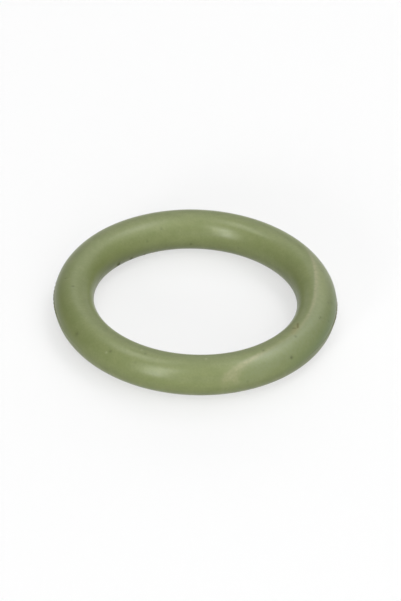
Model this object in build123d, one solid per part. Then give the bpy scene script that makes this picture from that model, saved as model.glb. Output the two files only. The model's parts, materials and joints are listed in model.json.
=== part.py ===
from build123d import *
from math import sqrt
import os

# Sealing ring: a moulded rubber ring of round section that lies flat, with its axis along Z.
# Lengths are in millimetres. The origin is the ring's centre, on its axis and in its mid plane.

# Driving dimensions
INSIDE_DIAMETER = 18.0  # clear hole, across the crest of the inner parting line
SECTION_DIAMETER = 3.55  # thickness of the round section
TRIM_DEPTH = 0.045  # how far the bands where flash was trimmed off lie below the round section
INNER_FLASH_HEIGHT = 0.045  # parting-line rib that stands on the inner band
OUTER_FLASH_HEIGHT = 0.10  # parting-line rib that stands on the outer band
FLASH_ROOT_WIDTH = 0.16  # width of both ribs where they leave their bands
FLASH_CREST_WIDTH = 0.08  # width of both ribs at their crests

# Sizes worked out from them, measured from the middle of the section
section_radius = SECTION_DIAMETER / 2
band_offset = section_radius - TRIM_DEPTH
band_half_width = sqrt(section_radius**2 - band_offset**2)
centre_radius = INSIDE_DIAMETER / 2 + INNER_FLASH_HEIGHT + band_offset


def half_outline(side, flash_height):
    """One half of the section's outline, from top to bottom: quarter round, band, rib, band, quarter round.

    side is 1 for the half away from the ring's axis and -1 for the half towards it.
    """
    band = side * band_offset
    crest = side * (band_offset + flash_height)
    slant = side * section_radius / sqrt(2)
    quarter = ThreePointArc(
        (0, section_radius), (slant, section_radius / sqrt(2)), (band, band_half_width)
    )
    rib = Polyline(
        (band, band_half_width),
        (band, FLASH_ROOT_WIDTH / 2),
        (crest, FLASH_CREST_WIDTH / 2),
        (crest, -FLASH_CREST_WIDTH / 2),
        (band, -FLASH_ROOT_WIDTH / 2),
        (band, -band_half_width),
    )
    return quarter + rib + mirror(quarter, about=Plane.XZ)


def sealing_ring():
    """The section, drawn beside the axis and turned once round it."""
    outline = half_outline(1, OUTER_FLASH_HEIGHT) + half_outline(-1, INNER_FLASH_HEIGHT)
    section = make_face(outline)
    placed = Plane.XZ * Pos(centre_radius, 0) * section
    return revolve(placed, Axis.Z)


os.makedirs("parts", exist_ok=True)
export_step(sealing_ring(), "parts/sealing_ring.step")
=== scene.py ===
import json
import math

import bpy
import numpy as np
from mathutils import Matrix, Vector


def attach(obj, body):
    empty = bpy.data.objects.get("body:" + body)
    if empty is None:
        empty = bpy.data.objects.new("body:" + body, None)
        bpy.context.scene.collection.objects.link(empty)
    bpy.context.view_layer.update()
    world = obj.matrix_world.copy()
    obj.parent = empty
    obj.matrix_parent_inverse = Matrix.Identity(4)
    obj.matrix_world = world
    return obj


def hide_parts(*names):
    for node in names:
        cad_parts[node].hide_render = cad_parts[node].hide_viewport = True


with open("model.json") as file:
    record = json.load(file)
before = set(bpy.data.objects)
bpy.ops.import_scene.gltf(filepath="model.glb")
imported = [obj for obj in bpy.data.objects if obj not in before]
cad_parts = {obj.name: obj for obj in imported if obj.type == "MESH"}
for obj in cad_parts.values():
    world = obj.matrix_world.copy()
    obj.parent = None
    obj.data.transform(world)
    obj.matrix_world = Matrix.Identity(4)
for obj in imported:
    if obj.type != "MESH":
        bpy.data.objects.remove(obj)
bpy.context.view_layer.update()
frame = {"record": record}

MM = 0.001

# Sizes of the ring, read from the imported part
mounts = {mount["name"]: mount for mount in frame["record"]["mounts"]}
CENTRE_RADIUS = mounts["upper_seat"]["pos_m"][0]
SECTION_RADIUS = mounts["upper_seat"]["pos_m"][2]
INNER_CREST_RADIUS = mounts["inner_seat"]["dims"]["r_mm"] * MM
OUTER_CREST_RADIUS = mounts["outer_seat"]["dims"]["r_mm"] * MM
BAND_HALF_WIDTH = mounts["outer_seat"]["dims"]["length_mm"] * MM / 2
BAND_OFFSET = math.sqrt(SECTION_RADIUS**2 - BAND_HALF_WIDTH**2)
INNER_FLASH_HEIGHT = CENTRE_RADIUS - BAND_OFFSET - INNER_CREST_RADIUS
OUTER_FLASH_HEIGHT = OUTER_CREST_RADIUS - CENTRE_RADIUS - BAND_OFFSET

# The parting-line ribs
FLASH_ROOT_WIDTH = 0.16 * MM
FLASH_CREST_WIDTH = 0.08 * MM

# Places on the ring are pairs of angles in degrees: round the ring, anticlockwise from +X seen from above,
# and round the section, from its outside over its top to its inside. The second starts at its bottom.
SECTION_START = -90

# How much of each rib and of the flat band under it is left, at angles round the ring
OUTER_FLASH = (
    (-180, 0.9), (-170, 0.7), (-156, 0.2), (-140, 0.02), (-40, 0.02), (-24, 0.2), (-12, 0.7), (-8, 1.0),
    (1.5, 1.0), (3, 0.35), (40, 0.4), (90, 0.3), (140, 0.45), (168, 0.8),
)
INNER_FLASH = ((-180, 0.4), (-150, 0.5), (-90, 0.4), (-30, 0.5), (0, 0.4), (30, 0.02), (150, 0.02))
# Waves and teeth along their crests: slowest and fastest count round the ring, and share of the height
FLASH_WAVES = (9, 40)
FLASH_WAVE_SHARE = 0.1
FLASH_TEETH = (110, 260)
FLASH_TEETH_SHARE = 0.28

# The moulding's unevenness, pressed into the round form: its depth, how many swells make it up,
# and how often the fastest of them comes round the ring and round the section
UNEVENNESS = 0.012 * MM
SWELLS = 14
FASTEST_SWELL = (9, 3)

# The flow mark: a pale line with a haze on its outer side. Each point of the line has its strength
# and, in millimetres, the width over which the line fades inwards and outwards.
FLOW_LINE = (
    (-78, 10, 0.25, 0.35, 0.8), (-77, 22, 0.5, 0.35, 1.0), (-75.5, 31, 0.7, 0.35, 1.1),
    (-74, 39, 0.75, 0.3, 0.8), (-71, 51, 0.8, 0.25, 0.4), (-67, 61, 0.9, 0.2, 0.28),
    (-61.5, 71, 0.75, 0.17, 0.26), (-57.5, 77, 0.5, 0.15, 0.26), (-50, 83, 0.3, 0.12, 0.22),
    (-40, 88, 0.25, 0.12, 0.22), (-30, 91, 0.45, 0.12, 0.2), (-20, 95, 0.65, 0.12, 0.2),
    (-8, 98, 0.8, 0.12, 0.22), (3, 97, 0.85, 0.12, 0.25), (11, 91, 1.0, 0.12, 0.28),
    (19, 82, 1.0, 0.12, 0.28), (27, 73, 0.7, 0.12, 0.25), (33, 66, 0.0, 0.12, 0.25),
)
# The haze: angles round the ring between which it sets in, and how far from the line it is full and ends
HAZE_RISE = (-78, -58)
HAZE_FULL = 1.2 * MM
HAZE_END = 2.6 * MM
# A pale film along the line on the right. Here and below, a point of a stroke is a place and a strength.
FILM = (((-18, 82, 0.2), (-4, 80, 0.8), (8, 77, 1.0), (18, 70, 0.9), (26, 62, 0.6)),)
FILM_WIDTH = 0.65 * MM
# Painted shading, not the rubber's own colour: a darker, greener stretch on the right outside, and darker
# olive on the left outside and on the inside at the rear left, where these sides fall into shadow
PAINTED_SHADE_RIGHT = (((-48, 6, 0.3), (-30, 18, 0.8), (-14, 26, 1.0), (0, 34, 0.9), (12, 42, 0.6)),)
PAINTED_SHADE_LEFT = (
    ((160, 46, 0.5), (180, 32, 0.9), (195, 22, 0.9), (210, 14, 0.6), (222, 8, 0.2)),
    ((126, 188, 0.4), (145, 180, 0.9), (160, 170, 0.9), (172, 160, 0.4)),
)
PAINTED_SHADE_WIDTH = 0.75 * MM

# A brown smear: two fine strokes in a faint tinge
SMEAR = (
    ((-28.7, 105, 0.4), (-29.7, 102, 1.0), (-32.2, 93, 1.0)),
    ((-33.3, 96, 0.7), (-33.7, 103, 1.0)),
)
SMEAR_WIDTH = 0.09 * MM
TINGE = (((-29, 108, 0.4), (-33, 97, 0.8), (-37, 89, 0.5)),)
TINGE_WIDTH = 0.3 * MM

# Specks and pits: place, radius in millimetres, strength
DARK_SPECKS = (
    (-146.5, 31.5, 0.2, 0.36), (-127, 47.5, 0.12, 0.5), (-112, 80.5, 0.11, 0.4), (-46, 28.5, 0.14, 0.6),
    (-19.8, 60.5, 0.1, 0.4), (-18.8, 60, 0.1, 0.4), (-16.5, 32, 0.1, 0.3), (-7, 54, 0.1, 0.3),
    (-38, 74.5, 0.11, 0.45), (-56.5, 82.5, 0.11, 0.45), (-48.5, -16, 0.14, 0.2), (-67.5, 3.5, 0.14, 0.2),
    (-5.5, 42.5, 0.3, 0.12), (15, 66, 0.1, 0.3), (94, 194, 0.12, 0.5), (66, 183, 0.1, 0.25),
    (110.5, 135.5, 0.1, 0.45), (120, 162, 0.1, 0.35), (178, 63.5, 0.1, 0.4), (-175, 86, 0.11, 0.5),
    (-114.5, 44.5, 0.12, 0.2),
)
LIGHT_SPECKS = ((-84, 90, 0.11, 0.6), (-128.5, 39, 0.1, 0.7), (-114.5, 89.5, 0.1, 0.4))
PIT_DEPTH = 0.05 * MM
# Dark grit that stands on the inside at the rear left
GRIT = ((140.3, 200, 0.2, 1.0), (129.8, 209, 0.15, 0.8), (120.5, 217, 0.15, 0.5))
GRIT_HEIGHT = 0.1 * MM
# Specks strewn over the underside and the far outside, each a stretch of both angles
UNDERSIDE = ((-180, 180), (240, 310))
FAR_OUTSIDE = ((50, 130), (-60, 35))
UNDERSIDE_SHARE = 0.6
STREWN_SPECKS = 40
STREWN_RADIUS = (0.06, 0.14)
STREWN_STRENGTH = (0.25, 0.6)

# Colours of the rubber, and of the marks laid over it in this order
OLIVE_DARK = (0.189, 0.223, 0.088)
OLIVE_LIGHT = (0.217, 0.249, 0.106)
GRAIN_COLOUR = (0.170, 0.198, 0.081)
LAYERS = {
    # The first two are painted shading on the sides that fall into shadow, not the rubber's own colour
    "painted_shade_right": (0.161, 0.211, 0.086),
    "painted_shade_left": (0.172, 0.203, 0.066),
    "haze": (0.218, 0.252, 0.126),
    "film": (0.248, 0.279, 0.131),
    "pale": (0.312, 0.316, 0.178),
    "tinge": (0.242, 0.236, 0.098),
    "brown": (0.112, 0.110, 0.030),
    "worn": (0.225, 0.220, 0.170),
    "light": (0.36, 0.40, 0.24),
    "dark": (0.030, 0.034, 0.020),
    "grit": (0.012, 0.012, 0.010),
}
STREAKED = ("haze", "film", "pale")

# Noise in the rubber: the size of its features and its detail
BLOTCHES = (0.9 * MM, 5)
GRAIN = (0.2 * MM, 3)
STREAKS = (0.3 * MM, 4)
SHEEN_PATCHES = (1.1 * MM, 4)
RIPPLES = (0.45 * MM, 2)
# The range of each noise that counts, and the range that it is carried over to
BLOTCH_SHARE = (0.3, 0.7, 0, 1)
GRAIN_SHARE = (0.4, 0.75, 0, 0.6)
STREAK_SHARE = (0.35, 0.65, 0.6, 1.2)
ROUGHNESS = (0.3, 0.7, 0.285, 0.335)
SPECULAR_LEVEL = 0.21
RIPPLE_STRENGTH = 0.3
RIPPLE_HEIGHT = 0.01 * MM

# Steps of the ring's mesh. Those over a band are shares of its half width: the fourth is at the rib's root
# and the sixth at the edge of its crest.
STEPS_ROUND = 840
STEPS_ARC = 45
BAND_STEPS = (1.0, 0.7, 0.4, 0.202, 0.15, 0.101, 0.03)
SEED = 18

# Camera: its place and aim as seen from the ring's centre, and its lens in millimetres
CAMERA_DISTANCE = 467.2 * MM
CAMERA_ELEVATION = math.radians(36.806)
CAMERA_ROLL = math.radians(2.248)
LENS = 315.89
AIM_RIGHT = 0.4447 * MM
AIM_UP = 0.016 * MM
CLIP_START = 0.01
CLIP_END = 10

# Lamps: name, azimuth (right of the camera is positive) and elevation in degrees, width and height in
# metres, and the powers of the two lamps there: one that only lights and, just before it, one that only
# shows in gloss
LIGHT_DISTANCE = 0.6
SHINE_DISTANCE = 0.599
LAMPS = (
    ("key", -29, 38, 0.075, 0.32, 0, 2.0),
    ("key_foot", -29, 14, 0.085, 0.125, 1.15, 0.95),
    ("key_top", -25, 56, 0.20, 0.20, 0.3, 0.55),
    ("low_right", 38, 23, 0.80, 0.42, 1.35, 0.25),
    ("front_fill", -6, 9, 0.58, 0.17, 1.7, 0),
    ("right_front", 62, 54, 0.44, 0.28, 0.5, 1.15),
    ("high_front", 0, 66, 0.44, 0.24, 0.25, 0),
    ("overhead_left", -122, 70, 0.29, 0.20, 0.1, 1.35),
    ("overhead_right", 117, 65, 0.32, 0.20, 0.55, 1.5),
    ("rear_high", 165, 46, 0.66, 0.26, 1.05, 1.1),
    ("rear_low", 180, 14, 0.90, 0.23, 1.75, 0.5),
    ("top", 0, 86, 0.30, 0.30, 0.2, 0.3),
    ("below", 0, -86, 0.60, 0.60, 0.6, 0),
)
WORLD_STRENGTH = 0.08

# The floor: its white as seen, the share that glows, its grey as it lights the ring, and half its side
FLOOR_WHITE = 0.95
FLOOR_GLOW = 0.6
FLOOR_BOUNCE = 0.15
FLOOR_HALF = 1.2

rng = np.random.default_rng(SEED)


def section_outline():
    """Points of the section from the outer band upwards, and the side of each.

    A point is (outwards, up) from the section's middle. The side is 1 on the outer band, -1 on the inner
    band and 0 on the round stretches between them.
    """
    heights = [-BAND_HALF_WIDTH * share for share in BAND_STEPS]
    heights += [-height for height in reversed(heights)]
    edge = math.atan2(BAND_HALF_WIDTH, BAND_OFFSET)
    angles = np.linspace(edge, math.pi - edge, STEPS_ARC + 2)[1:-1]
    arc = [(SECTION_RADIUS * math.cos(a), SECTION_RADIUS * math.sin(a)) for a in angles]
    points = [(BAND_OFFSET, z) for z in heights]
    points += arc
    points += [(-BAND_OFFSET, -z) for z in heights]
    points += [(-x, -z) for x, z in arc]
    sides = [1] * len(heights) + [0] * len(arc) + [-1] * len(heights) + [0] * len(arc)
    return np.array(points), np.array(sides)


def waves_round(u, slowest, fastest):
    """Seamless random waves round the ring, about 1 high, that repeat from slowest to fastest times."""
    counts = np.arange(slowest, fastest + 1)[:, None]
    heights = rng.normal(size=counts.shape)
    starts = rng.uniform(0, 2 * math.pi, counts.shape)
    waves = (heights * np.cos(counts * np.radians(u) + starts)).sum(0)
    return waves / waves.std()


def swells(u, v):
    """Slow random swells over the whole surface, from 0 to 1."""
    total = np.zeros(u.shape)
    for _ in range(SWELLS):
        round_ring = rng.integers(1, FASTEST_SWELL[0] + 1)
        round_section = rng.integers(-FASTEST_SWELL[1], FASTEST_SWELL[1] + 1)
        start = rng.uniform(0, 2 * math.pi)
        total += np.cos(round_ring * np.radians(u) + round_section * np.radians(v) + start)
    return (total - total.min()) / np.ptp(total)


def left_of_flash(u, knots):
    """How much of the flash is left round the ring: as a smooth course, and with its ragged crest."""
    angles, shares = np.array(knots).T
    smooth = np.interp(u, angles, shares, period=360)
    waves = FLASH_WAVE_SHARE * waves_round(u, *FLASH_WAVES)
    teeth = FLASH_TEETH_SHARE * waves_round(u, *FLASH_TEETH)
    return smooth, np.clip(smooth * (1 + waves + teeth), 0, 1)


def over_surface(u, v):
    """Places laid out flat, in metres."""
    return np.stack([np.radians(u) * CENTRE_RADIUS, np.radians(v) * SECTION_RADIUS], -1)


def wrapped(angle):
    """An angle in degrees, brought between -180 and 180."""
    return (angle + 180) % 360 - 180


def stroke(path, u, v):
    """Each place's distance from a path, and the path's traits where it is nearest.

    A point of the path is a place and, after it, the values of its traits there.
    """
    points = np.array(path, float)
    middle = points[:, 0].mean()
    corners, traits = over_surface(points[:, 0], points[:, 1]), points[:, 2:]
    places = over_surface(wrapped(u - middle) + middle, v)
    nearest = np.full(u.shape, np.inf)
    found = np.zeros(u.shape + traits.shape[1:])
    for k in range(len(corners) - 1):
        run = corners[k + 1] - corners[k]
        share = np.clip((places - corners[k]) @ run / (run @ run), 0, 1)[..., None]
        gap = np.linalg.norm(places - corners[k] - share * run, axis=-1)
        closer = gap < nearest
        nearest = np.where(closer, gap, nearest)
        found = np.where(closer[..., None], traits[k] + share * (traits[k + 1] - traits[k]), found)
    return nearest, np.moveaxis(found, -1, 0)


def bell(gap, width):
    """1 at no gap, falling off smoothly over the width."""
    return np.exp(-((gap / width) ** 2))


def brushed(paths, width, u, v):
    """Strength of soft strokes along paths."""
    total = np.zeros(u.shape)
    for path in paths:
        gap, (strength,) = stroke(path, u, v)
        total = np.maximum(total, strength * bell(gap, width))
    return total


def fade(value, full, end):
    """1 up to full, 0 past end, and smooth between them; end may be the lower of the two."""
    share = np.clip((value - end) / (full - end), 0, 1)
    return share * share * (3 - 2 * share)


def spots(specks, u, v):
    """Strength of round specks."""
    total = np.zeros(u.shape)
    for speck_u, speck_v, radius, strength in specks:
        ring_radius = CENTRE_RADIUS + SECTION_RADIUS * math.cos(math.radians(speck_v))
        across = np.radians(wrapped(u - speck_u)) * ring_radius
        along = np.radians(wrapped(v - speck_v)) * SECTION_RADIUS
        gap = np.hypot(across, along)
        total = np.maximum(total, strength * bell(gap, radius * MM))
    return total


def strewn_specks():
    """Specks at random places on the underside and the far outside."""
    specks = []
    for _ in range(STREWN_SPECKS):
        stretch = UNDERSIDE if rng.random() < UNDERSIDE_SHARE else FAR_OUTSIDE
        ranges = (*stretch, STREWN_RADIUS, STREWN_STRENGTH)
        specks.append(tuple(rng.uniform(*limits) for limits in ranges))
    return tuple(specks)


def marks(u, v):
    """Strength of each kind of mark over the surface, painted shading among them."""
    line = np.array(FLOW_LINE)
    gap, (strength, inner_width, outer_width) = stroke(FLOW_LINE, u, v)
    outer = v < np.interp(u, line[:, 0], line[:, 1], left=SECTION_START, right=SECTION_START)
    pale = strength * bell(gap, MM * np.where(outer, outer_width, inner_width))
    beyond = fade(np.where(outer, gap, 0), MM * inner_width, 0)
    haze = fade(gap, HAZE_FULL, HAZE_END) * beyond * fade(u, HAZE_RISE[1], HAZE_RISE[0])
    return {
        # Painted shading on the sides that fall into shadow
        "painted_shade_right": brushed(PAINTED_SHADE_RIGHT, PAINTED_SHADE_WIDTH, u, v),
        "painted_shade_left": brushed(PAINTED_SHADE_LEFT, PAINTED_SHADE_WIDTH, u, v),
        "haze": haze,
        "film": brushed(FILM, FILM_WIDTH, u, v) * beyond,
        "pale": pale,
        "tinge": brushed(TINGE, TINGE_WIDTH, u, v),
        "brown": brushed(SMEAR, SMEAR_WIDTH, u, v),
        "light": spots(LIGHT_SPECKS, u, v),
        "dark": spots(DARK_SPECKS + strewn_specks(), u, v),
        "grit": spots(GRIT, u, v),
    }


def ring_mesh():
    """The ring's closed mesh, as a grid of sections turned round the axis, with its marks as attributes."""
    outline, sides = section_outline()
    x, z = outline[:, 0], outline[:, 1]
    round_ring = np.linspace(-180, 180, STEPS_ROUND, endpoint=False)
    round_section = (np.degrees(np.arctan2(z, x)) - SECTION_START) % 360 + SECTION_START
    u, v = np.meshgrid(round_ring, round_section, indexing="ij")
    strengths = marks(u, v)

    slope = (FLASH_ROOT_WIDTH - FLASH_CREST_WIDTH) / 2
    rib = np.clip((FLASH_ROOT_WIDTH / 2 - np.abs(z)) / slope, 0, 1) * np.abs(sides)
    round_form = np.sqrt(SECTION_RADIUS**2 - np.minimum(np.abs(z), BAND_HALF_WIDTH) ** 2)
    outwards = np.broadcast_to(x, u.shape).copy()
    strengths["worn"] = np.zeros(u.shape)
    flashes = ((1, OUTER_FLASH, OUTER_FLASH_HEIGHT), (-1, INNER_FLASH, INNER_FLASH_HEIGHT))
    for side, knots, height in flashes:
        band, crest = left_of_flash(round_ring, knots)
        flat = BAND_OFFSET + (round_form - BAND_OFFSET) * (1 - band[:, None])
        proud = np.minimum(flat + height * crest[:, None] * rib, BAND_OFFSET + height)
        outwards = np.where(sides == side, side * proud, outwards)
        strengths["worn"] += crest[:, None] * rib * (sides == side)
    sunk = UNEVENNESS * swells(u, v) + PIT_DEPTH * strengths["dark"] - GRIT_HEIGHT * strengths["grit"]
    shrink = 1 - sunk / SECTION_RADIUS
    radius = CENTRE_RADIUS + outwards * shrink
    turn = np.radians(u)
    places = np.stack([radius * np.cos(turn), radius * np.sin(turn), z * shrink], -1)

    count = len(outline)
    i, j = np.meshgrid(np.arange(STEPS_ROUND), np.arange(count), indexing="ij")
    i_next, j_next = (i + 1) % STEPS_ROUND, (j + 1) % count
    faces = np.stack(
        [i * count + j, i_next * count + j, i_next * count + j_next, i * count + j_next], -1
    )
    mesh = bpy.data.meshes.new("sealing_ring_rubber")
    mesh.from_pydata(places.reshape(-1, 3).tolist(), [], faces.reshape(-1, 4).tolist())
    mesh.polygons.foreach_set("use_smooth", [True] * len(mesh.polygons))
    for name, strength in strengths.items():
        mesh.attributes.new(name, "FLOAT", "POINT").data.foreach_set("value", strength.ravel())
    mesh.update()
    return mesh


def noise(tree, place, feature, detail):
    """Noise whose features are about as large as given, from 0 to 1."""
    node = tree.nodes.new("ShaderNodeTexNoise")
    node.inputs["Scale"].default_value = 1 / feature
    node.inputs["Detail"].default_value = detail
    tree.links.new(place, node.inputs["Vector"])
    return node.outputs["Fac"]


def spread(tree, value, low, high, to_low, to_high):
    """A value between low and high, carried over to another range."""
    node = tree.nodes.new("ShaderNodeMapRange")
    tree.links.new(value, node.inputs["Value"])
    node.inputs["From Min"].default_value = low
    node.inputs["From Max"].default_value = high
    node.inputs["To Min"].default_value = to_low
    node.inputs["To Max"].default_value = to_high
    return node.outputs["Result"]


def mixed(tree, share, first, second):
    """A colour between two others; the first may be a node's output."""
    node = tree.nodes.new("ShaderNodeMix")
    node.data_type = "RGBA"
    tree.links.new(share, node.inputs["Factor"])
    if isinstance(first, tuple):
        node.inputs["A"].default_value = (*first, 1)
    else:
        tree.links.new(first, node.inputs["A"])
    node.inputs["B"].default_value = (*second, 1)
    return node.outputs["Result"]


def worked_out(tree, operation, first, second):
    """What an operation gives on two values, such as their sum."""
    node = tree.nodes.new("ShaderNodeMath")
    node.operation = operation
    first_in, second_in, _ = node.inputs
    tree.links.new(first, first_in)
    tree.links.new(second, second_in)
    return node.outputs["Value"]


def blended(tree, share, first, second):
    """The blend of two shaders."""
    node = tree.nodes.new("ShaderNodeMixShader")
    share_in, first_in, second_in = node.inputs
    tree.links.new(share, share_in)
    tree.links.new(first, first_in)
    tree.links.new(second, second_in)
    return node.outputs["Shader"]


def rubber():
    """Olive rubber, faintly blotched and grained, with the flow mark, the smear, the specks and painted
    shading over it.
    """
    material = bpy.data.materials.new("olive_rubber")
    material.use_nodes = True
    tree = material.node_tree
    shader = tree.nodes["Principled BSDF"]
    place = tree.nodes.new("ShaderNodeTexCoord").outputs["Object"]

    blotches = spread(tree, noise(tree, place, *BLOTCHES), *BLOTCH_SHARE)
    colour = mixed(tree, blotches, OLIVE_DARK, OLIVE_LIGHT)
    grain = spread(tree, noise(tree, place, *GRAIN), *GRAIN_SHARE)
    colour = mixed(tree, grain, colour, GRAIN_COLOUR)
    streaks = spread(tree, noise(tree, place, *STREAKS), *STREAK_SHARE)
    # The layers hold the marks and the painted shading, laid over the colour in turn
    for name, layer in LAYERS.items():
        mark = tree.nodes.new("ShaderNodeAttribute")
        mark.attribute_name = name
        strength = mark.outputs["Fac"]
        if name in STREAKED:
            strength = worked_out(tree, "MULTIPLY", strength, streaks)
        colour = mixed(tree, strength, colour, layer)
    tree.links.new(colour, shader.inputs["Base Color"])

    shader.inputs["Specular IOR Level"].default_value = SPECULAR_LEVEL
    roughness = spread(tree, noise(tree, place, *SHEEN_PATCHES), *ROUGHNESS)
    tree.links.new(roughness, shader.inputs["Roughness"])

    bump = tree.nodes.new("ShaderNodeBump")
    bump.inputs["Strength"].default_value = RIPPLE_STRENGTH
    bump.inputs["Distance"].default_value = RIPPLE_HEIGHT
    tree.links.new(noise(tree, place, *RIPPLES), bump.inputs["Height"])
    tree.links.new(bump.outputs["Normal"], shader.inputs["Normal"])
    return material


def add_ring():
    """The ring as a piece that stands for the CAD solid."""
    ring = bpy.data.objects.new("ring", ring_mesh())
    bpy.context.scene.collection.objects.link(ring)
    ring.data.materials.append(rubber())
    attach(ring, "root")
    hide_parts("sealing_ring")


def floor_white():
    """Matt white that is clear from below and lets the light from below through to the ring.

    What is seen of it partly glows, which keeps the ring's shadow light.
    What it throws back on the ring is dimmer.
    """
    material = bpy.data.materials.new("floor_white")
    material.use_nodes = True
    tree = material.node_tree
    tree.nodes.remove(tree.nodes["Principled BSDF"])
    rays = tree.nodes.new("ShaderNodeLightPath")
    seen = rays.outputs["Is Camera Ray"]
    for kind in ("Is Glossy Ray", "Is Transmission Ray"):
        seen = worked_out(tree, "ADD", seen, rays.outputs[kind])
    matt = tree.nodes.new("ShaderNodeBsdfDiffuse")
    tree.links.new(mixed(tree, seen, (FLOOR_BOUNCE,) * 3, (FLOOR_WHITE,) * 3), matt.inputs["Color"])
    glow = tree.nodes.new("ShaderNodeEmission").outputs["Emission"]
    clear = tree.nodes.new("ShaderNodeBsdfTransparent").outputs["BSDF"]
    above = blended(tree, spread(tree, seen, 0, 1, 0, FLOOR_GLOW), matt.outputs["BSDF"], glow)
    geometry = tree.nodes.new("ShaderNodeNewGeometry")
    passed = worked_out(tree, "MAXIMUM", geometry.outputs["Backfacing"], rays.outputs["Is Shadow Ray"])
    floor = blended(tree, passed, above, clear)
    tree.links.new(floor, tree.nodes["Material Output"].inputs["Surface"])
    return material


def add_floor():
    """A plain white floor that the ring lies on."""
    z = -SECTION_RADIUS
    mesh = bpy.data.meshes.new("floor")
    corners = [(sx * FLOOR_HALF, sy * FLOOR_HALF, z) for sx, sy in ((-1, -1), (1, -1), (1, 1), (-1, 1))]
    mesh.from_pydata(corners, [], [(0, 1, 2, 3)])
    floor = bpy.data.objects.new("floor", mesh)
    bpy.context.scene.collection.objects.link(floor)
    floor.data.materials.append(floor_white())


def add_world():
    """Even, dim white surroundings."""
    world = bpy.data.worlds.new("studio")
    world.use_nodes = True
    background = world.node_tree.nodes["Background"]
    background.inputs["Color"].default_value = (1, 1, 1, 1)
    background.inputs["Strength"].default_value = WORLD_STRENGTH
    bpy.context.scene.world = world


def add_lamp(name, azimuth, elevation, width, height, power, shines):
    """A soft rectangular lamp that faces the ring.

    One that shines shows only in gloss, and any other only lights.
    """
    turn, tilt = math.radians(azimuth), math.radians(elevation)
    direction = Vector((math.sin(turn) * math.cos(tilt), -math.cos(turn) * math.cos(tilt), math.sin(tilt)))
    data = bpy.data.lights.new(name, "AREA")
    data.shape = "RECTANGLE"
    data.size = width
    data.size_y = height
    data.energy = power
    lamp = bpy.data.objects.new(name, data)
    lamp.location = direction * (SHINE_DISTANCE if shines else LIGHT_DISTANCE)
    lamp.rotation_euler = (-direction).to_track_quat("-Z", "Y").to_euler()
    lamp.visible_camera = False
    lamp.visible_diffuse = not shines
    lamp.visible_glossy = shines
    bpy.context.scene.collection.objects.link(lamp)


def add_camera():
    """The photograph's camera: from the front and above, far off, rolled a little."""
    back = Vector((0, -math.cos(CAMERA_ELEVATION), math.sin(CAMERA_ELEVATION)))
    level_right = Vector((1, 0, 0))
    level_up = back.cross(level_right)
    right = math.cos(CAMERA_ROLL) * level_right + math.sin(CAMERA_ROLL) * level_up
    up = math.cos(CAMERA_ROLL) * level_up - math.sin(CAMERA_ROLL) * level_right
    place = back * CAMERA_DISTANCE + right * AIM_RIGHT + up * AIM_UP
    data = bpy.data.cameras.new("camera")
    data.lens = LENS
    data.clip_start = CLIP_START
    data.clip_end = CLIP_END
    camera = bpy.data.objects.new("camera", data)
    bpy.context.scene.collection.objects.link(camera)
    turn = Matrix((right, up, back)).transposed()
    camera.matrix_world = Matrix.Translation(place) @ turn.to_4x4()
    bpy.context.scene.camera = camera


add_ring()
add_floor()
add_world()
for name, azimuth, elevation, width, height, light, shine in LAMPS:
    if light:
        add_lamp(name + "_light", azimuth, elevation, width, height, light, False)
    if shine:
        add_lamp(name + "_shine", azimuth, elevation, width, height, shine, True)
add_camera()
bpy.context.scene.view_settings.view_transform = "Standard"
